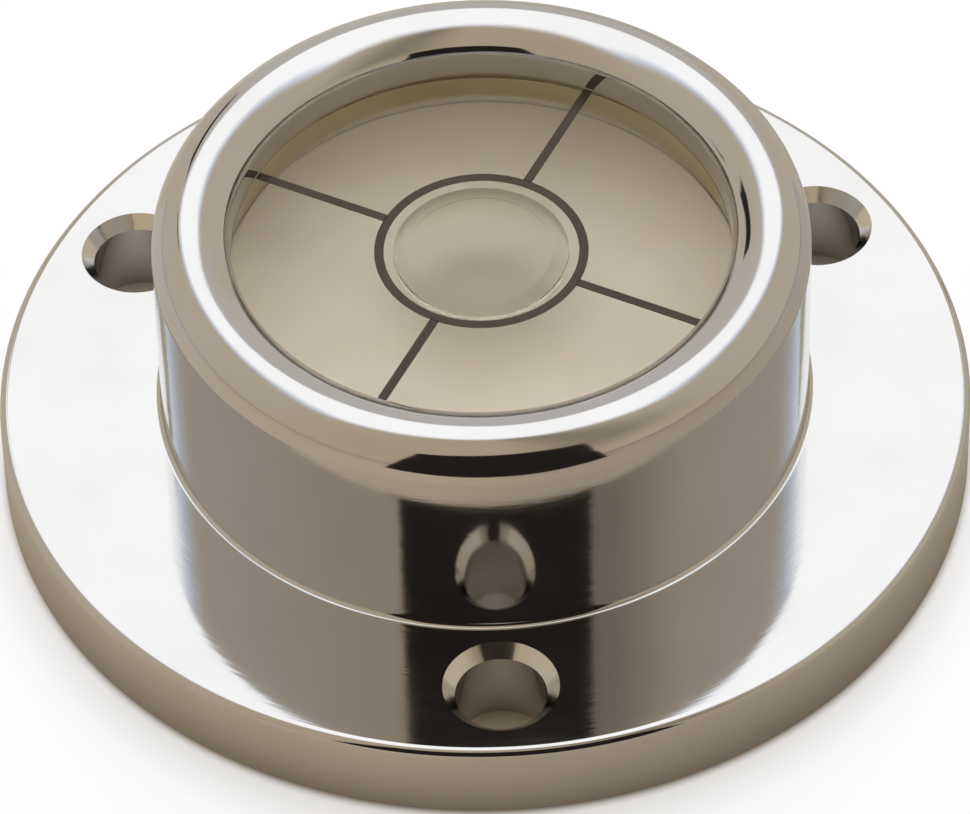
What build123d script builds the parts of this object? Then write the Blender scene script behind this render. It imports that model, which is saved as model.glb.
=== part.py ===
from build123d import *
import os

# Circular spirit level with a screw-down flange.
# Millimetres, +Z up. The origin is on the turned axis, in the plane of the flange's underside.
# Hole 1 lies on -Y.

# Housing: one turned and plated body
flange_width = 10.0
flange_thickness = 5.5
flange_edge_radius = 0.5
flange_base_chamfer = 0.3
body_diameter = 40.0
overall_height = 20.5
junction_radius = 0.35
lip_outer_radius = 2.6
lip_inner_radius = 2.2
glass_recess = 3.3

# Screw holes in the flange
hole_count = 3
hole_diameter = 5.5
hole_wall_gap = 2.0
hole_chamfer = 0.75
first_hole_angle = -90.0

# Glass lens with a hollow-ground underside
lens_overlap = 1.6
lens_thickness = 2.1
lens_underside_radius = 250.0
bedding_thickness = 0.15
lens_side_clearance = 0.2

# Enamel-filled lines cut in the top of the lens
ring_diameter = 13.0
line_width = 0.62
line_depth = 0.15
radial_line_count = 4
radial_line_angle = 62.0
line_end_margin = 0.3

# Cup that holds the liquid under the lens
cup_wall = 0.8
cup_base_thickness = 4.0
cement_thickness = 0.15
chamber_depth = 3.6
floor_disc_thickness = 0.6
floor_disc_edge_radius = 0.25
floor_disc_clearance = 0.1

# Filling hole, closed by a pressed ball under a resin cap
filling_hole_diameter = 2.5
filling_hole_inset = 3.4
filling_ball_clearance = 0.02
filling_ball_depth = 0.3

# Air bubble under the lens
bubble_ring_gap = 0.48
bubble_height = 2.6
bubble_shoulder = 1.0
bubble_offset = 0.9

# Ring that clamps the vial from below
washer_thickness = 0.5
clamp_overlap = 1.9
ring_thickness = 3.4
thread_depth = 0.7
thread_clearance = 0.1
thread_relief = 0.6
spanner_slot_width = 2.2
spanner_slot_depth = 1.2
spanner_slot_count = 2

# Radii and heights that follow from the sizes above
body_radius = body_diameter / 2
flange_radius = body_radius + flange_width
hole_circle_radius = body_radius + hole_wall_gap + hole_diameter / 2
lip_crest_radius = body_radius - lip_outer_radius
window_radius = lip_crest_radius - lip_inner_radius
lens_radius = window_radius + lens_overlap
bore_radius = lens_radius + lens_side_clearance
chamber_radius = lens_radius - cup_wall
filling_hole_position = chamber_radius - filling_hole_inset
thread_radius = bore_radius + thread_depth
clamp_radius = lens_radius - clamp_overlap
ring_radius = ring_diameter / 2
bubble_radius = ring_radius - line_width - bubble_ring_gap

lens_top = overall_height - glass_recess
lens_rim = lens_top - lens_thickness
lens_hollow = lens_underside_radius - (lens_underside_radius**2 - lens_radius**2) ** 0.5
lens_underside = lens_rim + lens_hollow
shoulder_height = lens_top + bedding_thickness
cup_rim = lens_rim - cement_thickness
floor_top = lens_rim - chamber_depth
cup_floor = floor_top - floor_disc_thickness
cup_base = cup_floor - cup_base_thickness
filling_ball_radius = filling_hole_diameter / 2 - filling_ball_clearance
filling_ball_base = cup_floor - filling_ball_depth - 2 * filling_ball_radius
washer_base = cup_base - washer_thickness
ring_base = washer_base - ring_thickness


def disc(radius, bottom, top):
    """A plain upright cylinder between two heights."""
    return Pos(0, 0, bottom) * Cylinder(
        radius, top - bottom, align=(Align.CENTER, Align.CENTER, Align.MIN)
    )


def washer(outer, inner, bottom, top):
    """A flat ring between two heights."""
    return disc(outer, bottom, top) - disc(inner, bottom, top)


def turned(outline):
    """A closed outline, drawn as radius and height, turned about the Z axis."""
    return revolve(Plane.XZ * make_face(outline), axis=Axis.Z)


def housing_outline():
    """Half section of the housing, from the thread recess round the flange and the lip."""
    flange_side = flange_radius - flange_edge_radius
    flange_side_top = flange_thickness - flange_edge_radius
    foot_radius = body_radius + junction_radius
    foot_height = flange_thickness + junction_radius
    outer_lip_centre = (lip_crest_radius, overall_height - lip_outer_radius)
    inner_lip_centre = (lip_crest_radius, overall_height - lip_inner_radius)
    inner_lip_foot = (window_radius, overall_height - lip_inner_radius)
    recess_top = washer_base + thread_relief
    below_lip = Polyline(
        inner_lip_foot,
        (window_radius, shoulder_height),
        (bore_radius, shoulder_height),
        (bore_radius, recess_top),
        (thread_radius, recess_top),
        (thread_radius, 0),
        (flange_radius - flange_base_chamfer, 0),
        (flange_radius, flange_base_chamfer),
        (flange_radius, flange_side_top),
    )
    return Curve() + [
        below_lip,
        CenterArc((flange_side, flange_side_top), flange_edge_radius, 0, 90),
        Line((flange_side, flange_thickness), (foot_radius, flange_thickness)),
        CenterArc((foot_radius, foot_height), junction_radius, 180, 90),
        Line((body_radius, foot_height), (body_radius, overall_height - lip_outer_radius)),
        CenterArc(outer_lip_centre, lip_outer_radius, 0, 90),
        CenterArc(inner_lip_centre, lip_inner_radius, 90, 90),
    ]


def housing():
    """Flange, body and rolled lip, with chamfered screw holes."""
    blank = turned(housing_outline())
    places = PolarLocations(hole_circle_radius, hole_count, start_angle=first_hole_angle)
    radius = hole_diameter / 2
    bore = disc(radius, 0, flange_thickness)
    sink = Pos(0, 0, flange_thickness - hole_chamfer / 2) * Cone(
        radius, radius + hole_chamfer, hole_chamfer
    )
    for place in places:
        blank -= place * bore
        blank -= place * sink
    return blank


def underside_ball():
    """The large sphere that the underside of the lens is ground to."""
    return Pos(0, 0, lens_underside - lens_underside_radius) * Sphere(lens_underside_radius)


def ring_line():
    """The round line, with its outer edge at the ring's diameter."""
    return washer(ring_radius, ring_radius - line_width, lens_top - line_depth, lens_top)


def radial_lines():
    """Straight lines from the ring to just inside the housing's window."""
    inner = ring_radius - line_width / 2
    length = lens_radius - line_end_margin - inner
    bar = Pos(inner + length / 2, 0, lens_top - line_depth / 2) * Box(length, line_width, line_depth)
    step = 360 / radial_line_count
    clear = disc(ring_radius, lens_top - line_depth, lens_top)
    return [Rot(0, 0, radial_line_angle + step * i) * bar - clear for i in range(radial_line_count)]


def lens(lines):
    """Flat-topped glass disc with a hollow underside and grooves for the enamel."""
    glass = disc(lens_radius, lens_rim, lens_top) - underside_ball()
    for line in lines:
        glass -= line
    return glass


def floor_disc():
    """Matt disc under the liquid, notched at its rim over the filling hole."""
    radius = chamber_radius - floor_disc_clearance
    plate = disc(radius, cup_floor, floor_top)
    plate = fillet(plate.edges().group_by(Axis.Z)[-1], floor_disc_edge_radius)
    notch = Pos(0, -radius, cup_floor + floor_disc_thickness / 2) * Box(
        filling_hole_diameter,
        2 * (radius - filling_hole_position) + filling_hole_diameter,
        floor_disc_thickness,
    )
    return plate - notch


def filling_hole():
    """Bore through the cup's base, close to its wall."""
    return Pos(0, -filling_hole_position, 0) * disc(filling_hole_diameter / 2, cup_base, cup_floor)


def cup():
    """Cup turned from bar, with a thick base."""
    body = disc(lens_radius, cup_base, cup_rim) - disc(chamber_radius, cup_floor, cup_rim)
    return body - filling_hole()


def filling_ball():
    """Ball pressed up the filling hole to close it."""
    centre = filling_ball_base + filling_ball_radius
    return Pos(0, -filling_hole_position, centre) * Sphere(filling_ball_radius)


def filling_cap():
    """Resin that covers the ball, flush with the cup's base."""
    cap = disc(filling_hole_diameter / 2, cup_base, filling_ball_base)
    return Pos(0, -filling_hole_position, 0) * cap


def bubble():
    """Flattened pocket of air pressed up against the lens."""
    waist = lens_underside - bubble_shoulder
    belly_depth = bubble_height - bubble_shoulder
    flat_radius = bubble_radius - bubble_shoulder
    section = Curve() + [
        Line((0, waist - belly_depth), (0, lens_underside)),
        Line((0, lens_underside), (flat_radius, lens_underside)),
        CenterArc((flat_radius, waist), bubble_shoulder, 0, 90),
        EllipticalCenterArc((0, waist), bubble_radius, belly_depth, start_angle=270, arc_size=90),
    ]
    return Pos(0, bubble_offset, 0) * turned(section) & underside_ball()


def liquid(air, plate):
    """What fills the chamber round the bubble, the disc and its notch."""
    filling = disc(chamber_radius, cup_floor, lens_top) & underside_ball()
    return filling - air - plate


def bedding():
    """Thin pale ring between the housing's shoulder and the lens."""
    return washer(lens_radius, window_radius, lens_top, shoulder_height)


def cement():
    """Thin ring that joins the lens to the cup."""
    return washer(lens_radius, chamber_radius, cup_rim, lens_rim) & underside_ball()


def clamp_washer():
    """Fibre washer between the cup and the clamping ring."""
    return washer(lens_radius, clamp_radius, washer_base, cup_base)


def clamp_ring():
    """Threaded ring with slots for a pin spanner."""
    outer = thread_radius - thread_clearance
    body = washer(outer, clamp_radius, ring_base, washer_base)
    slot = Pos(outer, 0, ring_base + spanner_slot_depth / 2) * Box(
        2 * outer, spanner_slot_width, spanner_slot_depth
    )
    for place in PolarLocations(0, spanner_slot_count):
        body -= place * slot
    return body


def pieces():
    """Every piece of the level, by the name of its file."""
    lines = radial_lines()
    air = bubble()
    plate = floor_disc()
    ring = ring_line()
    parts = {
        "housing": housing(),
        "lens_bedding": bedding(),
        "lens": lens([ring, *lines]),
        "ring_mark": ring,
        "lens_cement": cement(),
        "cup": cup(),
        "floor_disc": plate,
        "liquid": liquid(air, plate),
        "air_bubble": air,
        "filling_ball": filling_ball(),
        "filling_cap": filling_cap(),
        "clamp_washer": clamp_washer(),
        "clamp_ring": clamp_ring(),
    }
    for number, line in enumerate(lines, start=1):
        parts[f"radial_mark_{number}"] = line
    return parts


os.makedirs("parts", exist_ok=True)
for name, shape in pieces().items():
    export_step(shape, f"parts/{name}.step")
    print(name, round(shape.volume, 3), "mm3")
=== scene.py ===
# %% [markdown]
# # A bullseye level
# A bullseye level is a round spirit level: a bubble of air under a glass window shows which way a machine
# leans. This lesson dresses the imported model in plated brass, glass, spirit and matt paint, and lights it as
# a small product on a table. All sizes are in metres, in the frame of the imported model: Z is up along the
# turned axis, and one screw hole lies on -Y, towards the camera.

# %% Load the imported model
import math

import bpy
from mathutils import Matrix, Vector


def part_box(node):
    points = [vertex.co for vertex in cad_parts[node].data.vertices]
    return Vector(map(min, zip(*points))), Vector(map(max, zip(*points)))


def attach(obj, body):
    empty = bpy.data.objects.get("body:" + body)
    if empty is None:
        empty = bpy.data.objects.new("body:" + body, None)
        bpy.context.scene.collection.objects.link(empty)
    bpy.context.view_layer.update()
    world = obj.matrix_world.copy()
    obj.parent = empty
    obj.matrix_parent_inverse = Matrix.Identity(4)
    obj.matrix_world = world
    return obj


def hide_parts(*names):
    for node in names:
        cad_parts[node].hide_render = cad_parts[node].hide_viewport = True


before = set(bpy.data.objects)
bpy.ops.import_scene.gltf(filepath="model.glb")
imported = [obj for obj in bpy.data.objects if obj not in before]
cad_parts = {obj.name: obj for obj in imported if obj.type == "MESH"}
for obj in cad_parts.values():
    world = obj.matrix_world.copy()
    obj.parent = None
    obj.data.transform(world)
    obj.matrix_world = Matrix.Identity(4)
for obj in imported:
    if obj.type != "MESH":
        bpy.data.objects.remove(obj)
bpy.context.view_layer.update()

MM = 0.001


# %% [markdown]
# The camera comes first, because every later step is judged through it. A macro photograph of a small
# object is taken from far off with a long lens, so the near and far rims of the flange look almost the same
# size. The camera stands 47 degrees above the table, is turned a little off the hole's axis, and is rolled
# a degree and a half, as a hand-set tripod is.

# %% Place the camera
CAMERA_RISE = math.radians(46.64)
CAMERA_AZIMUTH = math.radians(-1.2)
CAMERA_ROLL = math.radians(-1.44)
CAMERA_REACH = 421.9 * MM
CAMERA_PIVOT = 8.0 * MM
CAMERA_LENS = 254.3


def look_at(eye, target, roll):
    """The matrix of a camera at eye that looks at target, rolled about its own line of sight."""
    back = (eye - target).normalized()
    right = Vector((0, 0, 1)).cross(back).normalized()
    turn = Matrix((right, back.cross(right), back)).transposed().to_4x4()
    return Matrix.Translation(eye) @ turn @ Matrix.Rotation(roll, 4, "Z")


def placed(name, data):
    """An object in the scene that shows a mesh, a lamp or a camera."""
    thing = bpy.data.objects.new(name, data)
    bpy.context.scene.collection.objects.link(thing)
    return thing


camera = placed("camera", bpy.data.cameras.new("camera"))
camera.data.sensor_width = 36.0
camera.data.lens = CAMERA_LENS
camera.data.clip_start = 0.01
swing = Matrix.Rotation(CAMERA_AZIMUTH, 4, "Z")
eye = Vector((0, -CAMERA_REACH * math.cos(CAMERA_RISE), CAMERA_PIVOT + CAMERA_REACH * math.sin(CAMERA_RISE)))
target = Vector((-0.02 * MM, 0, 3.23 * MM))
camera.matrix_world = swing @ look_at(eye, target, CAMERA_ROLL)
bpy.context.scene.camera = camera
print("camera at", [round(v, 4) for v in camera.location])


# %% [markdown]
# Polished metal shows nothing of its own: what one sees is the room. So the room is the first material. A
# large white screen hangs over the table towards the back, the near side of the room is a dim warm grey,
# and the back is a cooler grey. The camera with its dark hood stands in front and mirrors as a black patch.
# One way is to build these as cards round the object. What is far away can be painted on the world by
# direction instead: `Generated` in a world is the direction that a ray leaves in. The hood is painted there
# only for rays that metal has mirrored twice, such as those that show the hood in the body's wall by way of
# the flange.

# %% Small helpers for node trees
WHITE = (1.0, 1.0, 1.0, 1.0)
BLACK = (0.0, 0.0, 0.0, 1.0)


def emptied_tree(owner):
    """The node tree of a world or a material, with nothing in it."""
    owner.use_nodes = True
    owner.node_tree.nodes.clear()
    return owner.node_tree


def socket_of(node, name):
    """An input by its name or number, taking the first that isn't hidden."""
    if isinstance(name, int):
        return node.inputs[name]
    return next(s for s in node.inputs if s.name == name and s.enabled)


def add(tree, kind, inputs=None, **settings):
    """A node of that kind with its settings and inputs. An input may be a value or another node's output."""
    node = tree.nodes.new(kind)
    for name, value in settings.items():
        setattr(node, name, value)
    for name, value in (inputs or {}).items():
        if isinstance(value, bpy.types.NodeSocket):
            tree.links.new(value, socket_of(node, name))
        else:
            socket_of(node, name).default_value = value
    return node


def calc(tree, operation, *values):
    """A math node's result."""
    return add(tree, "ShaderNodeMath", dict(enumerate(values)), operation=operation).outputs[0]


def ramp(tree, value, low, high, out_low=0.0, out_high=1.0):
    """The value's smooth step from low to high."""
    inputs = {"Value": value, "From Min": low, "From Max": high, "To Min": out_low, "To Max": out_high}
    return add(tree, "ShaderNodeMapRange", inputs, interpolation_type="SMOOTHSTEP").outputs[0]


def blend(tree, factor, first, second):
    """A colour that goes from first to second with the factor."""
    node = add(tree, "ShaderNodeMix", data_type="RGBA")
    for name, value in (("Factor", factor), ("A", first), ("B", second)):
        target_socket = next(s for s in node.inputs if s.name == name and s.enabled)
        if isinstance(value, bpy.types.NodeSocket):
            tree.links.new(value, target_socket)
        else:
            target_socket.default_value = value
    return next(s for s in node.outputs if s.enabled)


def within(tree, value, low, high, soft):
    """A mask that is 1 between low and high, with soft edges."""
    rise = ramp(tree, value, low - soft, low + soft)
    fall = ramp(tree, value, high - soft, high + soft, 1.0, 0.0)
    return calc(tree, "MULTIPLY", rise, fall)


print("whitest and darkest", WHITE[:3], BLACK[:3])


# %% Paint the room by direction
FRONT_ROOM = (0.56, 0.455, 0.31, 1.0)
SIDE_ROOM = (0.62, 0.53, 0.40, 1.0)
BACK_ROOM = (0.66, 0.61, 0.55, 1.0)
SCREEN = (1.44, 1.415, 1.353, 1.0)
SCREEN_EDGE = (0.80, 0.85, 0.92, 1.0)
NIGHT = (0.02, 0.016, 0.014, 1.0)
WINDOW_LIGHT = (5.8, 5.95, 6.6, 1.0)
INSIDE_GLASS = (0.44, 0.385, 0.30, 1.0)
WINDOW_GAIN = 0.25

# Places in the room as (from, to, softness). Azimuth is in degrees, 0 behind the camera and positive to the
# right, and rise is in degrees above the table. The screen is flat, so its sides are slopes from the upright.
DIM_AZIMUTH, DIM_SHARE = (22, 58, 18), 0.42
SCREEN_ALONG = (-0.06, 1.20, 0.10)
SCREENS = [(SCREEN_EDGE, (-0.60, 0.66, 0.10)), (SCREEN, (-0.46, 0.52, 0.12))]
WINDOW_RISE = (12, 42, 4)
HOOD_AZIMUTH, HOOD_RISE = (-32.6, 35.6, 0.4), (-40, 53, 0.5)
STAND_AZIMUTH, STAND_RISE = (142.5, 145.5, 0.8), (8, 16, 2.0)


def room():
    world = bpy.data.worlds.new("room")
    tree = emptied_tree(world)
    way = add(tree, "ShaderNodeTexCoord").outputs["Generated"]
    x, y, z = add(tree, "ShaderNodeSeparateXYZ", {0: way}).outputs
    azimuth = calc(tree, "MULTIPLY", calc(tree, "ARCTAN2", x, calc(tree, "MULTIPLY", y, -1.0)), 180 / math.pi)
    rise = calc(tree, "MULTIPLY", calc(tree, "ARCSINE", z), 180 / math.pi)
    off_axis = calc(tree, "ABSOLUTE", azimuth)

    colour = blend(tree, ramp(tree, off_axis, 30, 110), FRONT_ROOM, SIDE_ROOM)
    colour = blend(tree, ramp(tree, off_axis, 135, 175), colour, BACK_ROOM)
    dim = calc(tree, "MULTIPLY", within(tree, azimuth, *DIM_AZIMUTH), DIM_SHARE)
    colour = blend(tree, calc(tree, "MULTIPLY", dim, ramp(tree, rise, 5, 40)), colour, NIGHT)

    above = calc(tree, "MAXIMUM", z, 0.02)
    across = calc(tree, "DIVIDE", x, above)
    along = calc(tree, "DIVIDE", y, above)
    for tone, sides in SCREENS:
        screen = calc(tree, "MULTIPLY", within(tree, across, *sides), within(tree, along, *SCREEN_ALONG))
        colour = blend(tree, calc(tree, "MULTIPLY", screen, ramp(tree, z, 0.05, 0.12)), colour, tone)

    path = add(tree, "ShaderNodeLightPath").outputs
    low_back = calc(tree, "MULTIPLY", ramp(tree, off_axis, 115, 135), within(tree, rise, *WINDOW_RISE))
    matt_before = calc(tree, "GREATER_THAN", path["Diffuse Depth"], 0.5)
    from_below_glass = calc(tree, "MULTIPLY", path["Is Transmission Ray"], matt_before)
    colour = blend(tree, calc(tree, "MULTIPLY", low_back, from_below_glass), colour, WINDOW_LIGHT)
    inner = calc(tree, "SUBTRACT", path["Is Transmission Ray"], from_below_glass)
    colour = blend(tree, inner, colour, INSIDE_GLASS)
    hood = calc(tree, "MULTIPLY", within(tree, azimuth, *HOOD_AZIMUTH), within(tree, rise, *HOOD_RISE))
    hood = calc(tree, "MULTIPLY", hood, calc(tree, "GREATER_THAN", path["Glossy Depth"], 1.5))
    stand = calc(tree, "MULTIPLY", within(tree, azimuth, *STAND_AZIMUTH), within(tree, rise, *STAND_RISE))
    dark = calc(tree, "MULTIPLY", calc(tree, "MAXIMUM", hood, stand), path["Is Glossy Ray"])
    colour = blend(tree, dark, colour, NIGHT)

    colour = blend(tree, path["Is Camera Ray"], colour, WHITE)
    strength = calc(tree, "MULTIPLY_ADD", from_below_glass, WINDOW_GAIN, 1.0)
    sky = add(tree, "ShaderNodeBackground", {"Color": colour, "Strength": strength}).outputs[0]
    add(tree, "ShaderNodeOutputWorld", {"Surface": sky})
    return world


bpy.context.scene.world = room()
bpy.context.scene.view_settings.view_transform = "Standard"
print("room painted with", len(bpy.context.scene.world.node_tree.nodes), "nodes")


# %% [markdown]
# The painted screen is right for mirrors but gives too little light for matt things. One way is to paint it
# brighter, but then the metal burns out. Instead a soft lamp of the same size hangs in the same direction,
# and mirrors and glass are told not to see it. With it, a matt colour in the open renders about as it is
# written.
# The floor of the vial lies under glass, so its light comes from the world: a bright window, low at the back,
# that only rays see which have touched something matt and gone out through the glass. The front of the floor
# sees that window over the lip, the back doesn't, and so the floor gets lighter towards the front. Rays that
# only bounce about inside the glass find a dim room, so that the bubble doesn't glow with the screen's image.

# %% Hang the lamp
lamp = bpy.data.lights.new("soft_lamp", "AREA")
lamp.shape = "RECTANGLE"
lamp.size, lamp.size_y = 0.51, 0.63
lamp.energy = 2.1
soft_lamp = placed("soft_lamp", lamp)
soft_lamp.location = (0.025, 0.285, 0.5)
soft_lamp.visible_glossy = False
soft_lamp.visible_camera = False
soft_lamp.visible_transmission = False
print("lamp", lamp.energy, "W")


# %% [markdown]
# The table is matt and pale. The camera should see it as the white of a catalogue page, but brighter lamps
# would bleach the metal too. So a little light is added only for rays that come straight from the camera,
# and a smaller share for rays that come by way of metal or glass. The shadow under the flange stays,
# because the table still receives its light from the room. Under the level the table doesn't glow. To the
# right the table's colour is painted a little darker, a painted shade which only the flange's mirrored side
# tells.

# %% Lay the table
TABLE_REACH, TABLE_DROP = 1.5, 0.00002
TABLE_NEAR, TABLE_FAR = (0.50, 0.425, 0.32, 1.0), (0.50, 0.47, 0.43, 1.0)
TABLE_SEEN = (0.40, 0.42, 0.46, 1.0)
# Painted shade: how much darker the table's colour is painted towards the right.
RIGHT_PAINTED_SHADE = 0.2
GLOW_SEEN, GLOW_BY_WAY = 0.55, 0.03


def table_sheet():
    """A flat square sheet that faces up, a hair's breadth under the level."""
    mesh = bpy.data.meshes.new("table")
    r = TABLE_REACH
    corners = [(x, y, -TABLE_DROP) for x, y in ((-r, -r), (r, -r), (r, r), (-r, r))]
    mesh.from_pydata(corners, [], [(0, 1, 2, 3)])
    sheet = placed("table", mesh)
    return sheet


def table_finish():
    material = bpy.data.materials.new("table_paper")
    tree = emptied_tree(material)
    path = add(tree, "ShaderNodeLightPath").outputs
    place = add(tree, "ShaderNodeTexCoord").outputs["Object"]
    x, y, _ = add(tree, "ShaderNodeSeparateXYZ", {0: place}).outputs
    flat = add(tree, "ShaderNodeCombineXYZ", {0: x, 1: y}).outputs[0]
    away = add(tree, "ShaderNodeVectorMath", {0: flat}, operation="LENGTH").outputs["Value"]
    away = ramp(tree, away, 0.0295, 0.0305)
    colour = blend(tree, ramp(tree, y, -0.03, 0.05), TABLE_NEAR, TABLE_FAR)
    # Painted shade: the table's colour is blended towards black on the right.
    colour = blend(tree, calc(tree, "MULTIPLY", ramp(tree, x, -0.02, 0.03), RIGHT_PAINTED_SHADE), colour, BLACK)
    colour = blend(tree, calc(tree, "MULTIPLY", path["Is Camera Ray"], away), colour, TABLE_SEEN)
    matt = add(tree, "ShaderNodeBsdfDiffuse", {"Color": colour}).outputs[0]
    by_way = calc(tree, "MAXIMUM", path["Is Glossy Ray"], path["Is Transmission Ray"])
    straight = calc(tree, "MULTIPLY", path["Is Camera Ray"], GLOW_SEEN)
    gain = calc(tree, "ADD", straight, calc(tree, "MULTIPLY", by_way, GLOW_BY_WAY))
    gain = calc(tree, "MULTIPLY", gain, away)
    glow = add(tree, "ShaderNodeEmission", {"Color": WHITE, "Strength": gain}).outputs[0]
    both = add(tree, "ShaderNodeAddShader", {0: matt, 1: glow}).outputs[0]
    add(tree, "ShaderNodeOutputMaterial", {"Surface": both})
    return material


table = table_sheet()
table.data.materials.append(table_finish())
print("table", [round(side, 2) for side in table.dimensions], "m")


# %% [markdown]
# The dark hood of the camera stands on the table, a hand's breadth in front of the level. The camera looks
# over it and doesn't see it, but the near and the far side of the lip mirror it, each from its own distance.
# Low cards stand behind the level at its left and right, and end the white band on the lip's flanks. The
# left one has a dark upper rim, with a gap, that draws the thin dark lines along the lip's white band. Things
# so near can't be painted on the room, so they are real cards.

# %% Stand the hood and the side cards
def card(name, corners, tone):
    """An upright sheet that only mirrors show, from its corners in millimetres."""
    mesh = bpy.data.meshes.new(name)
    mesh.from_pydata([Vector(corner) * MM for corner in corners], [], [tuple(range(len(corners)))])
    sheet = placed(name, mesh)
    for ray in ("camera", "diffuse", "transmission", "volume_scatter", "shadow"):
        setattr(sheet, f"visible_{ray}", False)
    material = bpy.data.materials.new(name)
    tree = emptied_tree(material)
    light = add(tree, "ShaderNodeEmission", {"Color": tone, "Strength": 1.0}).outputs[0]
    add(tree, "ShaderNodeOutputMaterial", {"Surface": light})
    mesh.materials.append(material)
    return sheet


def side_card(name, x, near, far, low, high, tone):
    """A card that stands along Y at one side, between two heights."""
    return card(name, [(x, near, low), (x, far, low), (x, far, high), (x, near, high)], tone)


HOOD = [(-44, 0), (50, 0), (46, 20), (43, 45), (42, 76), (20, 78), (-31, 72), (-36, 40)]
HOOD_PLACE = -80
SIDE_CARDS = [
    ("left_card", -36, 24, 80, 0, 43, SIDE_ROOM),
    ("left_card_rim_near", -36, 24, 33, 43, 45.5, NIGHT),
    ("left_card_rim_far", -36, 48, 84, 43, 55, NIGHT),
    ("right_card", 44, 32, 110, 0, 54, SIDE_ROOM),
]
card("hood", [(x, HOOD_PLACE, z) for x, z in HOOD], NIGHT)
for sizes in SIDE_CARDS:
    side_card(*sizes)
print("hood corners", len(HOOD), "side cards", len(SIDE_CARDS))


# %% [markdown]
# Almost every piece of the level comes off a lathe: it is an outline turned about the Z axis. That is a rule,
# so Geometry Nodes can follow it. The outline is a chain of points in the XZ plane. The tree makes a flat
# grid with one row for each point of the outline and one column for each step round the axis, looks up each
# point's radius and height, and bends the grid round. Merging by distance closes the seam and the poles.
# The same tree can cut a screw thread: where the height lies between two limits and the radius is the
# thread's, it moves the points in and out along a ramp that climbs one pitch in a turn. It can also bite a
# ring of holes out of the piece with a cutter, and marks as sharp each edge whose faces meet at more than the
# crease angle, so the rest can be shaded smooth.

# %% The lathe
def interface(tree, inputs, outputs):
    """Named sockets of a node tree, as (name, kind, default)."""
    for name, kind, default in inputs:
        item = tree.interface.new_socket(name=name, in_out="INPUT", socket_type=kind)
        if default is not None:
            item.default_value = default
    for name, kind in outputs:
        tree.interface.new_socket(name=name, in_out="OUTPUT", socket_type=kind)


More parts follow.
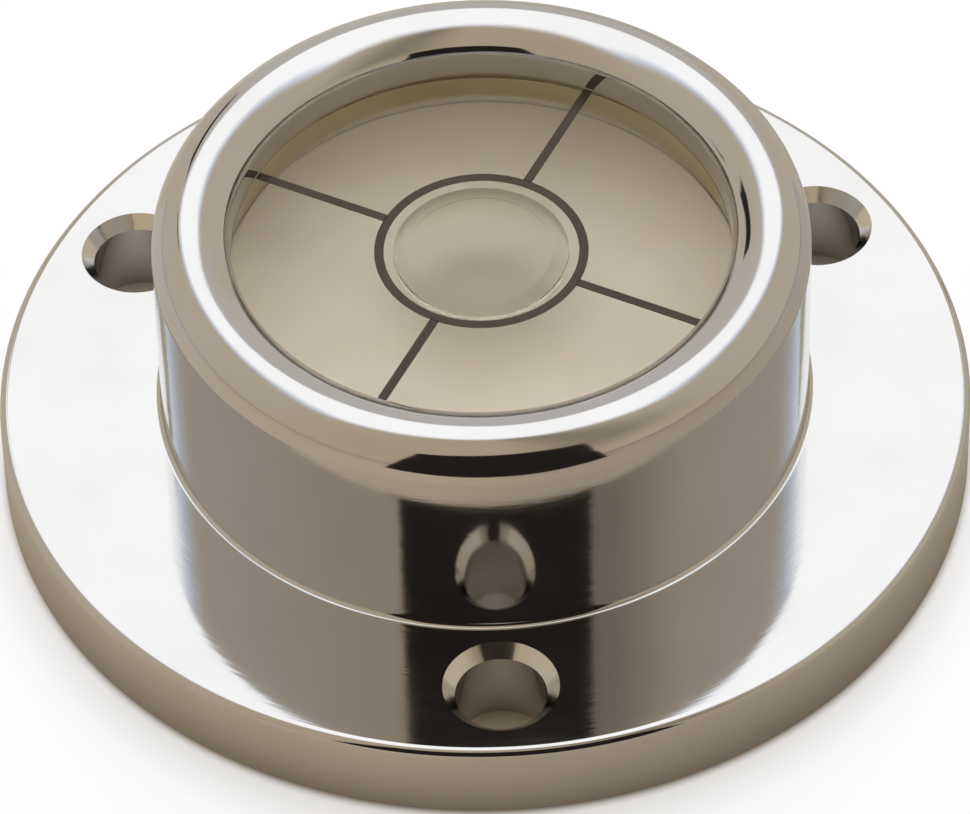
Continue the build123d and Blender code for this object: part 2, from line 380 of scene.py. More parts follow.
def lathe_tree():
    tree = bpy.data.node_groups.new("lathe", "GeometryNodeTree")
    interface(
        tree,
        [("Outline", "NodeSocketGeometry", None), ("Steps", "NodeSocketInt", 256),
         ("Crease Angle", "NodeSocketFloat", 0.5), ("Cutter", "NodeSocketObject", None),
         ("Cuts", "NodeSocketInt", 0), ("Cut Circle", "NodeSocketFloat", 0.01),
         ("First Cut", "NodeSocketFloat", 0.0), ("Thread Depth", "NodeSocketFloat", 0.0),
         ("Thread Pitch", "NodeSocketFloat", 0.00075), ("Thread Radius", "NodeSocketFloat", 1.0),
         ("Thread Low", "NodeSocketFloat", 0.0), ("Thread High", "NodeSocketFloat", 0.0),
         ("Finish", "NodeSocketMaterial", None)],
        [("Turned", "NodeSocketGeometry")],
    )
    given = add(tree, "NodeGroupInput").outputs
    size = add(tree, "GeometryNodeAttributeDomainSize", {"Geometry": given["Outline"]}).outputs["Point Count"]
    columns = calc(tree, "ADD", given["Steps"], 1.0)
    grid = add(tree, "GeometryNodeMeshGrid", {"Vertices X": columns, "Vertices Y": size}).outputs["Mesh"]
    index = add(tree, "GeometryNodeInputIndex").outputs[0]
    column = calc(tree, "FLOOR", calc(tree, "DIVIDE", index, size))
    row = calc(tree, "SUBTRACT", index, calc(tree, "MULTIPLY", column, size))
    place = add(tree, "GeometryNodeInputPosition").outputs[0]
    point = add(
        tree, "GeometryNodeSampleIndex",
        {"Geometry": given["Outline"], "Value": place, "Index": row}, data_type="FLOAT_VECTOR",
    ).outputs[0]
    radius, _, height = add(tree, "ShaderNodeSeparateXYZ", {0: point}).outputs
    share = calc(tree, "DIVIDE", column, given["Steps"])
    angle = calc(tree, "MULTIPLY", share, 2 * math.pi)
    winding = calc(tree, "SUBTRACT", calc(tree, "DIVIDE", height, given["Thread Pitch"]), share)
    ridge = calc(tree, "MULTIPLY", calc(tree, "PINGPONG", winding, 0.5), 2.0)
    cut = calc(tree, "MULTIPLY", calc(tree, "GREATER_THAN", height, given["Thread Low"]),
               calc(tree, "LESS_THAN", height, given["Thread High"]))
    cut = calc(tree, "MULTIPLY", cut, calc(tree, "COMPARE", radius, given["Thread Radius"], 1e-5))
    ridge = calc(tree, "MULTIPLY", calc(tree, "MULTIPLY", ridge, cut), given["Thread Depth"])
    radius = calc(tree, "SUBTRACT", radius, ridge)
    bent = add(
        tree, "ShaderNodeCombineXYZ",
        {0: calc(tree, "MULTIPLY", radius, calc(tree, "COSINE", angle)),
         1: calc(tree, "MULTIPLY", radius, calc(tree, "SINE", angle)), 2: height},
    ).outputs[0]
    shape = add(tree, "GeometryNodeSetPosition", {"Geometry": grid, "Position": bent}).outputs[0]
    shape = add(tree, "GeometryNodeMergeByDistance", {"Geometry": shape, "Distance": 2e-6}).outputs[0]

    circle = add(
        tree, "GeometryNodeMeshCircle", {"Vertices": given["Cuts"], "Radius": given["Cut Circle"]},
    ).outputs[0]
    turn = add(tree, "ShaderNodeCombineXYZ", {2: given["First Cut"]}).outputs[0]
    circle = add(tree, "GeometryNodeTransform", {"Geometry": circle, "Rotation": turn}).outputs[0]
    cutter = add(tree, "GeometryNodeObjectInfo", {"Object": given["Cutter"]}).outputs["Geometry"]
    cutters = add(tree, "GeometryNodeInstanceOnPoints", {"Points": circle, "Instance": cutter}).outputs[0]
    cutters = add(tree, "GeometryNodeRealizeInstances", {"Geometry": cutters}).outputs[0]
    bitten = add(
        tree, "GeometryNodeMeshBoolean", {"Mesh 1": shape, "Mesh 2": cutters},
        operation="DIFFERENCE", solver="EXACT",
    ).outputs[0]
    wanted = calc(tree, "GREATER_THAN", given["Cuts"], 0.5)
    shape = add(
        tree, "GeometryNodeSwitch", {"Switch": wanted, "False": shape, "True": bitten}, input_type="GEOMETRY",
    ).outputs[0]

    fold = add(tree, "GeometryNodeInputMeshEdgeAngle").outputs["Unsigned Angle"]
    sharp = calc(tree, "GREATER_THAN", fold, given["Crease Angle"])
    shape = add(
        tree, "GeometryNodeStoreNamedAttribute",
        {"Geometry": shape, "Name": "sharp_edge", "Value": sharp}, data_type="BOOLEAN", domain="EDGE",
    ).outputs[0]
    shape = add(tree, "GeometryNodeSetShadeSmooth", {"Geometry": shape, "Shade Smooth": True}).outputs[0]
    shape = add(tree, "GeometryNodeRealizeInstances", {"Geometry": shape}).outputs[0]
    shape = add(tree, "GeometryNodeSetMaterial", {"Geometry": shape, "Material": given["Finish"]}).outputs[0]
    add(tree, "NodeGroupOutput", {"Turned": shape})
    return tree


LATHE = lathe_tree()


def settle(obj):
    """Replaces an object's mesh by what its modifiers make of it, and removes them."""
    graph = bpy.context.evaluated_depsgraph_get()
    mesh = bpy.data.meshes.new_from_object(obj.evaluated_get(graph))
    mesh.name = obj.name
    finishes = [material for material in mesh.materials if material]
    mesh.materials.clear()
    for material in finishes:
        mesh.materials.append(material)
    mesh.polygons.foreach_set("material_index", [0] * len(mesh.polygons))
    obj.modifiers.clear()
    obj.data = mesh
    return obj


def arc(centre, radius, start, end, steps):
    """Points on a circle in the outline's plane, from one angle in degrees to another."""
    angles = [math.radians(start + (end - start) * i / steps) for i in range(steps + 1)]
    return [(centre[0] + radius * math.cos(a), centre[1] + radius * math.sin(a)) for a in angles]


def set_inputs(modifier, values):
    """Sets a Geometry Nodes modifier's inputs by the identifiers of their sockets."""
    for item in modifier.node_group.interface.items_tree:
        if item.in_out == "INPUT" and item.name in values:
            modifier[item.identifier] = values[item.name]


def turn(name, outline, finish, steps=256, closed=True, **more):
    """A turned piece from an outline of (radius, height) in millimetres."""
    points = outline + outline[:1] if closed else outline
    mesh = bpy.data.meshes.new(name)
    mesh.from_pydata([(r * MM, 0, h * MM) for r, h in points], [], [])
    piece = placed(name, mesh)
    nodes = piece.modifiers.new("lathe", "NODES")
    nodes.node_group = LATHE
    set_inputs(nodes, {"Steps": steps, "Finish": finish, **more})
    return settle(piece)


def bites(cutter, count, circle, first):
    """Lathe inputs that bite a cutter out of the piece, from the circle in millimetres and the first angle."""
    return {"Cutter": cutter, "Cuts": count, "Cut Circle": circle * MM, "First Cut": math.radians(first)}


def facing(piece):
    """Turns the piece's faces outwards, and gives its volume in cubic millimetres before that."""
    mesh = piece.data
    mesh.calc_loop_triangles()
    spots = [v.co for v in mesh.vertices]
    corners = (triangle.vertices for triangle in mesh.loop_triangles)
    volume = sum(spots[a].dot(spots[b].cross(spots[c])) for a, b, c in corners) / 6
    if volume < 0:
        mesh.flip_normals()
    return volume / MM**3


def refinish(piece, finish, chosen):
    """Gives the chosen faces of a piece another finish."""
    piece.data.materials.append(finish)
    number = len(piece.data.materials) - 1
    faces = [face for face in piece.data.polygons if chosen(face)]
    for face in faces:
        face.material_index = number
    print(piece.name, "faces in", finish.name, len(faces))


def reach(face):
    """How far a face's centre is from the turned axis, in millimetres."""
    return math.hypot(face.center.x, face.center.y) / MM


print("lathe ready with", len(LATHE.nodes), "nodes")


# %% [markdown]
# Bright nickel plate over turned brass is a mirror. A lathe leaves very fine grooves that run round the axis,
# and polishing leaves only traces of them: they fray the edges of a reflection and draw it out across the
# grooves. One way is a bump of noise, but its slopes would be far steeper across a groove than along it. So
# the group below leans the surface's normal itself, by a little in each of the two directions. It turns the
# place of a point into its radius, height and angle, and reads the noise there: fast across the grooves and
# slowly along them.

# %% The turned grain as a shader group
def shader_group(name, inputs, outputs):
    tree = bpy.data.node_groups.new(name, "ShaderNodeTree")
    interface(tree, inputs, outputs)
    return tree


def vector(tree, operation, *values):
    """A vector math node's vector."""
    return add(tree, "ShaderNodeVectorMath", dict(enumerate(values)), operation=operation).outputs[0]


def scaled(tree, way, factor):
    """A vector times a value."""
    return add(tree, "ShaderNodeVectorMath", {0: way, "Scale": factor}, operation="SCALE").outputs[0]


def turned_grain():
    tree = shader_group(
        "turned_grain",
        [("Place", "NodeSocketVector", None), ("Normal", "NodeSocketVector", None),
         ("Fine", "NodeSocketFloat", 9000.0), ("Along", "NodeSocketFloat", 6.0),
         ("Sway", "NodeSocketFloat", 0.01), ("Tilt", "NodeSocketFloat", 0.01)],
        [("Normal", "NodeSocketVector"), ("Cloud", "NodeSocketFloat"), ("Streak", "NodeSocketFloat")],
    )
    given = add(tree, "NodeGroupInput").outputs
    x, y, z = add(tree, "ShaderNodeSeparateXYZ", {0: given["Place"]}).outputs
    outward = vector(tree, "NORMALIZE", add(tree, "ShaderNodeCombineXYZ", {0: x, 1: y}).outputs[0])
    around = vector(tree, "CROSS_PRODUCT", (0, 0, 1), outward)
    radius = calc(tree, "SQRT", calc(tree, "ADD", calc(tree, "MULTIPLY", x, x), calc(tree, "MULTIPLY", y, y)))
    angle = calc(tree, "ARCTAN2", y, x)
    unrolled = add(
        tree, "ShaderNodeCombineXYZ",
        {0: calc(tree, "MULTIPLY", calc(tree, "ADD", radius, z), given["Fine"]),
         1: calc(tree, "MULTIPLY", angle, given["Along"])},
    ).outputs[0]
    noise = add(tree, "ShaderNodeTexNoise", {"Vector": unrolled, "Scale": 1.0, "Detail": 2.0}).outputs
    sway, tilt, streak = add(tree, "ShaderNodeSeparateColor", {0: noise["Color"]}).outputs
    sway = calc(tree, "MULTIPLY", calc(tree, "SUBTRACT", sway, 0.5), given["Sway"])
    tilt = calc(tree, "MULTIPLY", calc(tree, "SUBTRACT", tilt, 0.5), given["Tilt"])
    upright = vector(tree, "ADD", outward, (0, 0, 1))
    lean = vector(tree, "ADD", scaled(tree, around, sway), scaled(tree, upright, tilt))
    leaning = vector(tree, "NORMALIZE", vector(tree, "ADD", given["Normal"], lean))
    cloud = add(tree, "ShaderNodeTexNoise", {"Vector": given["Place"], "Scale": 160.0, "Detail": 4.0})
    add(tree, "NodeGroupOutput", {"Normal": leaning, "Cloud": cloud.outputs[0], "Streak": streak})
    return tree


GRAIN = turned_grain()
print("grain group sockets", len(GRAIN.interface.items_tree))


# %% Finishes of metal
def principled(name, constants):
    """A material with a Principled shader and its constants, its tree and its object coordinates."""
    material = bpy.data.materials.new(name)
    material.use_nodes = True
    tree = material.node_tree
    shader = tree.nodes["Principled BSDF"]
    for key, value in constants.items():
        shader.inputs[key].default_value = value
    place = add(tree, "ShaderNodeTexCoord").outputs["Object"]
    return material, tree, shader, place


def feed(tree, shader, **sources):
    """Links sources to the shader's inputs, whose names have spaces for underscores."""
    for name, source in sources.items():
        tree.links.new(source, shader.inputs[name.replace("_", " ")])


def turned_metal(name, colour, dull, rough, rough_more, **grooves):
    material, tree, shader, place = principled(name, {"Metallic": 1.0})
    surface = add(tree, "ShaderNodeNewGeometry").outputs["Normal"]
    grain = add(tree, "ShaderNodeGroup", {}, node_tree=GRAIN)
    tree.links.new(place, grain.inputs["Place"])
    tree.links.new(surface, grain.inputs["Normal"])
    for key, value in grooves.items():
        grain.inputs[key].default_value = value
    cloud = ramp(tree, grain.outputs["Cloud"], 0.35, 0.7)
    worn = calc(tree, "ADD", cloud, ramp(tree, grain.outputs["Streak"], 0.35, 0.65))
    worn = calc(tree, "ADD", calc(tree, "MULTIPLY", worn, rough_more / 2), rough)
    tint = blend(tree, cloud, (*colour, 1.0), (*dull, 1.0))
    feed(tree, shader, Base_Color=tint, Roughness=worn, Normal=grain.outputs["Normal"])
    return material


NICKEL = turned_metal(
    "nickel_plate", (0.64, 0.65, 0.68), (0.62, 0.63, 0.655), 0.05, 0.05, Fine=15000.0, Along=9.0,
    Sway=0.03, Tilt=0.02,
)
BRASS = turned_metal(
    "turned_brass", (0.72, 0.56, 0.30), (0.60, 0.46, 0.25), 0.22, 0.12, Fine=6000.0, Along=3.0,
    Sway=0.05, Tilt=0.12,
)
SUNK_NICKEL = turned_metal(
    "nickel_in_chamfer", (0.74, 0.74, 0.73), (0.70, 0.70, 0.69), 0.10, 0.08, Fine=9000.0, Along=9.0,
    Sway=0.06, Tilt=0.06,
)
STEEL = turned_metal(
    "polished_steel", (0.55, 0.55, 0.56), (0.47, 0.46, 0.45), 0.08, 0.06, Fine=3000.0, Along=2.0,
    Sway=0.01, Tilt=0.01,
)
print("metals", NICKEL.name, SUNK_NICKEL.name, BRASS.name, STEEL.name)


# %% [markdown]
# The housing is one turned piece: flange, body and rolled lip. Its outline goes round the cross-section once.
# The lip is a chain of arcs: a round nose, a bevel that leans in, and a tight turn down to the glass.
# Where a flat meets an arc, a short extra step keeps the bend of the shading inside the arc, because smooth
# shading would otherwise tilt the whole flat and warp its mirror image. The three screw holes are bitten out
# by a cutter that is turned on the same lathe: a straight bore that opens into a chamfer. A chamfer is cut
# last and isn't polished before plating, so its faces get a duller nickel.

# %% Turn the housing
FLANGE, BODY, HEIGHT = 30.0, 20.0, 20.5
FLANGE_TOP, RIM_CURVE, BASE_CHAMFER = 5.5, 0.5, 0.3
FOOT_CURVE, LIP_CURVE, LIP_SWEEP = 0.35, 2.6, 65
WINDOW, SHOULDER = 15.2, 17.35
BORE, RECESS, RECESS_TOP = 17.0, 17.7, 7.0
THREAD_LEAD, THREAD_DEPTH, THREAD_TOP, THREAD_ROW, THREAD_EASE = 0.3, 0.35, 3.2, 0.1, 0.05
SUPPORT, PAST = 0.05, 0.5
HOLE, CHAMFER, HOLE_CIRCLE = 2.75, 0.75, 24.75
LIP = [(1.83, 25), (2.70, 24), (4.37, 16), (0.80, 12), (1.48, 20), (0.50, 18)]


def bends(point, heading, chain):
    """Points along a chain of arcs, each (radius, degrees), that turns left from a heading in degrees."""
    points = []
    for radius, sweep in chain:
        start = heading - 90
        side = math.radians(heading + 90)
        centre = (point[0] + radius * math.cos(side), point[1] + radius * math.sin(side))
        points += arc(centre, radius, start, start + sweep, 10)[1:]
        point, heading = points[-1], heading + sweep
    return points


def housing_outline():
    rim_centre = (FLANGE - RIM_CURVE, FLANGE_TOP - RIM_CURVE)
    foot_centre = (BODY + FOOT_CURVE, FLANGE_TOP + FOOT_CURVE)
    lip_centre = (BODY - LIP_CURVE, HEIGHT - LIP_CURVE)
    base = FLANGE - BASE_CHAMFER
    points = [(RECESS + THREAD_LEAD, 0.0), (base - SUPPORT, 0.0), (base, 0.0)]
    points += [(FLANGE, BASE_CHAMFER), (FLANGE, BASE_CHAMFER + SUPPORT), (FLANGE, rim_centre[1] - SUPPORT)]
    points += arc(rim_centre, RIM_CURVE, 0, 90, 12)
    points += [(rim_centre[0] - SUPPORT, FLANGE_TOP), (foot_centre[0] + SUPPORT, FLANGE_TOP)]
    points += arc(foot_centre, FOOT_CURVE, -90, -180, 10)
    points += [(BODY, foot_centre[1] + SUPPORT), (BODY, lip_centre[1] - SUPPORT)]
    points += arc(lip_centre, LIP_CURVE, 0, LIP_SWEEP, 22)
    points += bends(points[-1], 90.0 + LIP_SWEEP, LIP)
    window, foot = points[-1]
    print("lip ends at radius", round(window, 3), "and height", round(foot, 3))
    points += [(window, foot - SUPPORT), (window, SHOULDER)]
    points += [(BORE, SHOULDER), (BORE, RECESS_TOP), (RECESS, RECESS_TOP), (RECESS, THREAD_TOP)]
    points += [(RECESS, THREAD_TOP - THREAD_ROW * i) for i in range(1, 30)]
    return points


def hole_cutter():
    cone = 0.3
    outline = [
        (0, -PAST), (HOLE, -PAST), (HOLE, FLANGE_TOP - CHAMFER), (HOLE + CHAMFER + cone, FLANGE_TOP + cone),
        (0, FLANGE_TOP + cone),
    ]
    return turn("hole_cutter", outline, NICKEL, steps=96, closed=False)


cutter = hole_cutter()
facing(cutter)
housing = turn(
    "turned_housing", housing_outline(), NICKEL, steps=512,
    **bites(cutter, 3, HOLE_CIRCLE, -90),
    **{"Crease Angle": math.radians(28), "Thread Depth": THREAD_DEPTH * MM, "Thread Radius": RECESS * MM,
       "Thread Low": (THREAD_LEAD + THREAD_EASE) * MM, "Thread High": (THREAD_TOP - THREAD_EASE) * MM},
)
bpy.data.objects.remove(cutter)


def in_chamfer(face):
    sloping = 0.6 < face.normal.z < 0.8 and FLANGE_TOP - CHAMFER < face.center.z / MM < FLANGE_TOP
    return sloping and BODY + 1 < reach(face) < FLANGE - 1


refinish(housing, SUNK_NICKEL, in_chamfer)
print("housing volume mm3", round(facing(housing), 1), "faces", len(housing.data.polygons))
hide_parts("housing")
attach(housing, "root")


# %% [markdown]
# Inside are the quieter pieces. The cup is turned brass with a matt cream wall, the floor is a cream disc
# with a rounded edge, and thin rings of bedding, cement and fibre lie between the hard parts.

# %% Paint, resin and fibre
def matt_finish(name, colour, darker, rough, grain, depth):
    material, tree, shader, place = principled(name, {"Specular IOR Level": 0.35})
    broad = {"Vector": place, "Scale": grain * 0.02, "Detail": 5.0}
    cloud = add(tree, "ShaderNodeTexNoise", broad).outputs[0]
    speck = add(tree, "ShaderNodeTexNoise", {"Vector": place, "Scale": grain, "Detail": 2.0}).outputs[0]
    tint = blend(tree, ramp(tree, cloud, 0.35, 0.7), (*colour, 1.0), (*darker, 1.0))
    bump = add(tree, "ShaderNodeBump", {"Height": speck, "Strength": 0.3, "Distance": depth}).outputs[0]
    worn = ramp(tree, cloud, 0.2, 0.8, rough - 0.05, rough + 0.05)
    feed(tree, shader, Base_Color=tint, Roughness=worn, Normal=bump)
    return material


CREAM = matt_finish("cream_paint", (0.90, 0.81, 0.64), (0.87, 0.775, 0.605), 0.6, 9000.0, 3e-6)
WALL = matt_finish("wall_paint", (0.72, 0.65, 0.47), (0.68, 0.61, 0.43), 0.5, 9000.0, 3e-6)
BEDDING = matt_finish("bedding_paste", (0.38, 0.34, 0.25), (0.34, 0.30, 0.22), 0.7, 12000.0, 6e-6)
CEMENT = matt_finish("clear_cement", (0.80, 0.73, 0.54), (0.76, 0.69, 0.50), 0.45, 9000.0, 3e-6)
RESIN = matt_finish("cap_resin", (0.10, 0.075, 0.055), (0.07, 0.05, 0.04), 0.35, 6000.0, 8e-6)
FIBRE = matt_finish("red_fibre", (0.40, 0.12, 0.07), (0.30, 0.09, 0.05), 0.8, 14000.0, 12e-6)
ENAMEL = matt_finish("brown_black_enamel", (0.030, 0.018, 0.009), (0.042, 0.027, 0.014), 0.3, 9000.0, 1e-6)
print("matt finishes", [finish.name for finish in (CREAM, WALL, BEDDING, CEMENT, RESIN, FIBRE, ENAMEL)])

# %% Cup, disc and rings
LENS, LENS_TOP, LENS_RIM, LENS_CENTRE = 16.8, 17.2, 15.1, 15.665
CHAMBER, CUP_RIM, FLOOR, CUP_FLOOR, CUP_BASE = 16.0, 14.95, 11.5, 10.9, 6.9
WASHER_BASE, RING_BASE, CLAMP = 6.4, 3.0, 14.9
FILLING_HOLE, FILLING_PLACE = 1.25, 12.6
DISC, DISC_EDGE = 15.98, 0.25


def seat(piece, node):
    """Puts a finished piece in a CAD node's place."""
    volume = facing(piece)
    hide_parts(node)
    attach(piece, "root")
    print(piece.name, "volume mm3", round(volume, 2), "faces", len(piece.data.polygons))
    return piece


def ring_outline(outer, inner, low, high, ease=0.0):
    """A flat ring's section, with its four corners eased by small chamfers."""
    if not ease:
        return [(inner, low), (outer, low), (outer, high), (inner, high)]
    return [(inner + ease, low), (outer - ease, low), (outer, low + ease), (outer, high - ease),
            (outer - ease, high), (inner + ease, high), (inner, high - ease), (inner, low + ease)]


def block_cutter(name, width, depth, low, high):
    """A block that bites a slot or a notch, centred on the cut circle."""
    x, y = width / 2, depth / 2
    outline = [(-x, -y), (x, -y), (x, y), (-x, y)]
    mesh = bpy.data.meshes.new(name)
    corners = [Vector((a, b, z)) * MM for z in (low, high) for a, b in outline]
    mesh.from_pydata(corners, [], BLOCK_FACES)
    return placed(name, mesh)


BLOCK_FACES = [(3, 2, 1, 0), (4, 5, 6, 7), (0, 1, 5, 4), (1, 2, 6, 5), (2, 3, 7, 6), (3, 0, 4, 7)]
print("cup radius", LENS, "chamber radius", CHAMBER)


# %% Turn them
disc_outline = [(0, CUP_FLOOR), (DISC, CUP_FLOOR)]
disc_outline += arc((DISC - DISC_EDGE, FLOOR - DISC_EDGE), DISC_EDGE, 0, 90, 10)
disc_outline += [(CHAMBER - 0.4, FLOOR), (0, FLOOR)]
notch = block_cutter("notch_cutter", 2 * FILLING_HOLE, 9.1, CUP_FLOOR - PAST, FLOOR + PAST)
floor_piece = turn(
    "cream_disc", disc_outline, CREAM, steps=256, closed=False, **bites(notch, 1, CHAMBER - 0.1, -90),
)
bpy.data.objects.remove(notch)
seat(floor_piece, "floor_disc")

bedding = turn("bedding_ring", ring_outline(LENS, WINDOW, LENS_TOP, SHOULDER), BEDDING)
seat(bedding, "lens_bedding")
cement_outline = [(CHAMBER, CUP_RIM), (LENS, CUP_RIM), (LENS, LENS_RIM - 0.005), (CHAMBER, LENS_RIM + 0.045)]
cement = turn("cement_ring", cement_outline, CEMENT)
seat(cement, "lens_cement")
washer = turn("fibre_washer", ring_outline(LENS, CLAMP, WASHER_BASE, CUP_BASE, 0.05), FIBRE)
seat(washer, "clamp_washer")

# %% [markdown]
# The window is clear glass, flat on top and very slightly hollow underneath, so that the bubble finds its
# middle. The ring and the cross are cut into it and filled with dark enamel. The enamel stands a hundredth of
# a millimetre proud, which is what wiping it off leaves, and which keeps the two surfaces apart.

# %% Glass and spirit
def clear_finish(name, colour, index, rough=0.0):
    """Glass or spirit: a surface that light goes through."""
    clear = {"Base Color": (*colour, 1.0), "Roughness": rough, "IOR": index, "Transmission Weight": 1.0}
    return principled(name, clear)[0]


def no_surface(name):
    """A finish for faces that light shouldn't notice."""
    return principled(name, {"Base Color": WHITE, "Roughness": 0.0, "Alpha": 0.0})[0]


GLASS = clear_finish("clear_glass", (0.985, 0.99, 0.98), 1.5)
SPIRIT = clear_finish("clear_spirit", (0.99, 0.985, 0.95), 1.36)
BUBBLE_SKIN = clear_finish("spirit_at_the_bubble", (0.99, 0.985, 0.95), 1.36, 0.12)
CONTACT = no_surface("wetted_glass")
AIR = no_surface("air")

BUBBLE, BUBBLE_DEPTH, BUBBLE_SHOULDER, BUBBLE_SHIFT = 5.4, 2.6, 1.0, 0.9
CONTACT_RADIUS = BUBBLE - BUBBLE_SHOULDER
HOLLOW, GLASS_EASE = 250.0, 0.1


def lens_height(radius):
    """Height of the lens's underside at a distance from the axis."""
    return LENS_CENTRE - HOLLOW + math.sqrt(HOLLOW**2 - radius**2)


def shift_towards_bubble(piece, rim, low, high, drop):
    """Moves the inner rings of a turned face onto the bubble's axis, and lays the face under the lens."""
    for v in piece.data.vertices:
        x, y, z = v.co / MM
        if low < z < high:
            share = min(max((math.hypot(x, y) - CONTACT_RADIUS) / (rim - CONTACT_RADIUS), 0.0), 1.0)
            y += BUBBLE_SHIFT * (1.0 - share)
            if z > LENS_CENTRE - 0.7:
                z = lens_height(math.hypot(x, y)) - drop
            v.co = Vector((x, y, z)) * MM


def from_bubble(face):
    """How far a face's centre is from the bubble's upright axis, in millimetres."""
    return math.hypot(face.center.x, face.center.y - BUBBLE_SHIFT * MM) / MM


rim = LENS - GLASS_EASE
under = [CONTACT_RADIUS * i / 6 for i in range(6)]
under += [CONTACT_RADIUS + (rim - CONTACT_RADIUS) * i / 24 for i in range(25)]
lens_outline = [(r, LENS_CENTRE - 0.6 * r / LENS) for r in under]
lens_outline += [(LENS, LENS_RIM + GLASS_EASE), (LENS, LENS_TOP - GLASS_EASE), (rim, LENS_TOP), (0, LENS_TOP)]
lens = turn("glass_lens", lens_outline, GLASS, steps=256, closed=False)
shift_towards_bubble(lens, rim, LENS_CENTRE - 0.61, LENS_CENTRE + 0.1, 0.0)
seat(lens, "lens")
refinish(lens, CONTACT, lambda face: face.normal.z < -0.7 and from_bubble(face) > CONTACT_RADIUS)

RING, LINE, SINK, PROUD, FIRST_LINE = 6.5, 0.57, 0.06, 0.01, 62
ring = turn("enamel_ring", ring_outline(RING, RING - LINE, LENS_TOP - SINK, LENS_TOP + PROUD), ENAMEL)
seat(ring, "ring_mark")


def radial_line(number, angle):
    """A straight bar of enamel from the ring to the window's edge."""
    start, end, half = RING - 0.05, LENS - 0.3, LINE / 2
    outline = [(start, -half), (end, -half), (end, half), (start, half)]
    corners = [Vector((x, y, z)) * MM for z in (LENS_TOP - SINK, LENS_TOP + PROUD) for x, y in outline]
    mesh = bpy.data.meshes.new(f"enamel_line_{number}")
    mesh.from_pydata(corners, [], BLOCK_FACES)
    mesh.transform(Matrix.Rotation(math.radians(angle), 4, "Z"))
    mesh.materials.append(ENAMEL)
    return seat(placed(mesh.name, mesh), f"radial_mark_{number}")


for i in range(4):
    radial_line(i + 1, FIRST_LINE + 90 * i)

# %% [markdown]
# The spirit fills the cup. Its top is the hollow of the glass, less a hair's breadth so that the two surfaces
# never fight, and the bubble is a dent in it: light bends at the dent's rolled edge, and that is all that one
# sees of a bubble. The dent is modelled as its own smooth sheet within the spirit's closed skin. The spirit's
# sides and bottom are sunk a little into the cup and the disc, which hides them. The skin of the bubble is
# never at rest, so its faces get a spirit that bends light a little unevenly and softens the bubble's edge.

# %% Pour the spirit
GAP, SUNK = 0.02, 0.05


def bubble_section(shrink):
    """The bubble's outline from its lowest point to where it meets the glass, about its own axis."""
    waist = LENS_CENTRE - BUBBLE_SHOULDER
    belly = BUBBLE_DEPTH - BUBBLE_SHOULDER - shrink
    lower = []
    for i in range(61):
        a = math.radians(90 * i / 60)
        lower.append(((BUBBLE - shrink) * math.sin(a), waist - belly * math.cos(a)))
    return lower + arc((CONTACT_RADIUS, waist), BUBBLE_SHOULDER - shrink, 0, 90, 40)[1:]


def pour():
    """The closed skin of the spirit: the bubble's dent, the top against the glass, the wall and the floor."""
    wall, top = CHAMBER + SUNK, LENS_CENTRE - GAP
    outline = bubble_section(GAP)
    outline += [(CONTACT_RADIUS + (wall - CONTACT_RADIUS) * i / 30, top - 0.4 * i / 30) for i in range(1, 31)]
    outline += [(wall, FLOOR - SUNK), (0, FLOOR - SUNK)]
    piece = turn("spirit", outline, SPIRIT, steps=384, closed=False)
    shift_towards_bubble(piece, wall, FLOOR, LENS_CENTRE, GAP)
    return piece


def against_glass(face):
    upward = face.normal.z > 0.7 and face.center.z > (LENS_RIM - 0.1) * MM
    return upward and from_bubble(face) > CONTACT_RADIUS


def round_bubble(face):
    free = face.material_index == 0 and face.center.z > (FLOOR + 0.5) * MM
    return free and from_bubble(face) < BUBBLE


spirit = pour()
seat(spirit, "liquid")
refinish(spirit, CONTACT, against_glass)
refinish(spirit, BUBBLE_SKIN, round_bubble)

AIR_GAP, AIR_TOP = 0.06, LENS_CENTRE - 0.08
section = bubble_section(AIR_GAP)
section[-1] = (section[-1][0], AIR_TOP)
bubble = turn("bubble_of_air", section + [(0, AIR_TOP)], AIR, steps=128, closed=False)
bubble.data.transform(Matrix.Translation((0, BUBBLE_SHIFT * MM, 0)))
seat(bubble, "air_bubble")


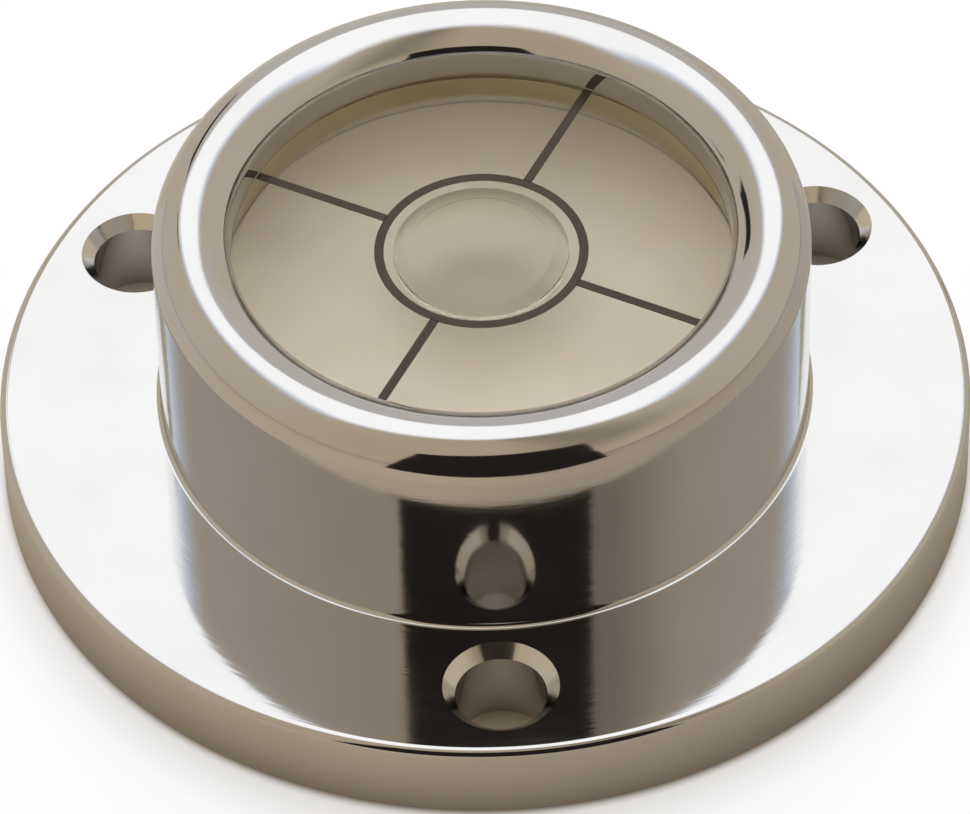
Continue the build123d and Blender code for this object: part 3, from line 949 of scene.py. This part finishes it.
# %% [markdown]
# From below one sees how the level is held together. The cup is turned brass with a filling hole through its
# thick base. A ball closes the hole, and a drop of resin covers it and sags a little as it sets. The clamping
# ring screws into the housing's thread. It has eased edges and two slots across it for a pin spanner, which
# are bitten out by a block in the same way as the screw holes.

# %% Cup, cap and clamping ring
cup_outline = [
    (0, CUP_BASE), (LENS - 0.2, CUP_BASE), (LENS, CUP_BASE + 0.2), (LENS, CUP_RIM),
    (CHAMBER, CUP_RIM), (CHAMBER, CUP_FLOOR), (0, CUP_FLOOR),
]
bore_low, bore_high = CUP_BASE - PAST, CUP_FLOOR + PAST
bore_outline = [(0, bore_low), (FILLING_HOLE, bore_low), (FILLING_HOLE, bore_high), (0, bore_high)]
bore = turn("bore_cutter", bore_outline, BRASS, steps=64, closed=False)
facing(bore)
cup = turn(
    "brass_cup", cup_outline, BRASS, steps=256, closed=False, **bites(bore, 1, FILLING_PLACE, -90),
)
bpy.data.objects.remove(bore)
refinish(cup, WALL, lambda face: abs(reach(face) - CHAMBER) < 0.02)
seat(cup, "cup")

SAG = 0.12
cap_low, cap_high = (corner[2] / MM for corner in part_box("filling_cap"))
sag = [(FILLING_HOLE * i / 8, cap_low + SAG * (1 - (i / 8) ** 2)) for i in range(9)]
cap = turn("resin_cap", sag + [(FILLING_HOLE, cap_high), (0, cap_high)], RESIN, steps=64, closed=False)
cap.data.transform(Matrix.Translation((0, -FILLING_PLACE * MM, 0)))
seat(cap, "filling_cap")

SLOT_WIDTH, SLOT_DEPTH = 2.2, 1.2
slot_block = block_cutter("slot_cutter", 6.0, SLOT_WIDTH, RING_BASE - PAST, RING_BASE + SLOT_DEPTH)
clamp = turn(
    "clamping_ring", ring_outline(RECESS - 0.1, CLAMP, RING_BASE, WASHER_BASE, 0.2), BRASS, steps=256,
    **bites(slot_block, 2, (RECESS + CLAMP) / 2, 0),
)
bpy.data.objects.remove(slot_block)
seat(clamp, "clamp_ring")

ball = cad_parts["filling_ball"]
ball.data.materials.clear()
ball.data.materials.append(STEEL)
print("cup, cap, ring and ball are", [len(piece.data.polygons) for piece in (cup, cap, clamp, ball)], "faces")
